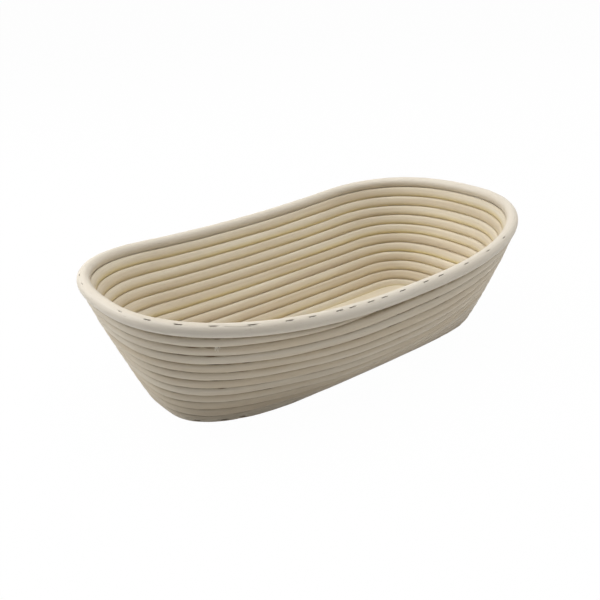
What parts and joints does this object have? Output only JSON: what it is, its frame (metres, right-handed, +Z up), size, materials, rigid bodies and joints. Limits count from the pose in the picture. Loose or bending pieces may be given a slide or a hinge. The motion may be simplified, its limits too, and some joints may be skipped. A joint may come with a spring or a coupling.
{
  "type": "proofing basket",
  "caption": "Oval flared proofing basket: one long cane wound in turns round a flat board, closed at the top by a thicker rim cane and held with wire staples.",
  "frame": {"origin": "centre of the board's underside, on the surface that the basket stands on", "axes": "+X along the long axis, +Y towards the straighter long side, +Z up out of the open mouth"},
  "size_m": [0.3, 0.179, 0.0814],
  "materials": {
    "board": "pale planed wood, unvarnished",
    "wall_cane": "natural peeled cane, dry and slightly fibrous",
    "rim_cane": "natural peeled cane, smooth",
    "staple_steel": "plain steel wire"
  },
  "bodies": {
    "root": {"base_board": "board", "wall_coil": "wall_cane", "rim_cane": "rim_cane", "rim_staple_01": "staple_steel", "rim_staple_02": "staple_steel", "rim_staple_03": "staple_steel", "rim_staple_04": "staple_steel", "rim_staple_05": "staple_steel", "rim_staple_06": "staple_steel", "rim_staple_07": "staple_steel", "rim_staple_08": "staple_steel", "rim_staple_09": "staple_steel", "rim_staple_10": "staple_steel", "rim_staple_11": "staple_steel", "rim_staple_12": "staple_steel", "rim_staple_13": "staple_steel", "rim_staple_14": "staple_steel", "rim_staple_15": "staple_steel", "rim_staple_16": "staple_steel", "rim_staple_17": "staple_steel", "rim_staple_18": "staple_steel", "rim_staple_19": "staple_steel", "rim_staple_20": "staple_steel", "rim_staple_21": "staple_steel", "rim_staple_22": "staple_steel", "rim_staple_23": "staple_steel", "rim_staple_24": "staple_steel", "rim_staple_25": "staple_steel", "rim_staple_26": "staple_steel", "rim_staple_27": "staple_steel", "rim_staple_28": "staple_steel", "rim_staple_29": "staple_steel", "rim_staple_30": "staple_steel", "rim_staple_31": "staple_steel", "rim_staple_32": "staple_steel", "rim_staple_33": "staple_steel", "rim_staple_34": "staple_steel", "rim_staple_35": "staple_steel", "rim_staple_36": "staple_steel", "rim_staple_37": "staple_steel", "rim_staple_38": "staple_steel", "rim_staple_39": "staple_steel", "rim_staple_40": "staple_steel", "rim_staple_41": "staple_steel", "rim_staple_42": "staple_steel", "rim_staple_43": "staple_steel", "rim_staple_44": "staple_steel", "rim_staple_45": "staple_steel", "base_staple_01": "staple_steel", "base_staple_02": "staple_steel", "base_staple_03": "staple_steel", "base_staple_04": "staple_steel", "base_staple_05": "staple_steel", "base_staple_06": "staple_steel", "base_staple_07": "staple_steel", "base_staple_08": "staple_steel", "base_staple_09": "staple_steel", "base_staple_10": "staple_steel", "base_staple_11": "staple_steel", "base_staple_12": "staple_steel"}
  },
  "joints": []
}
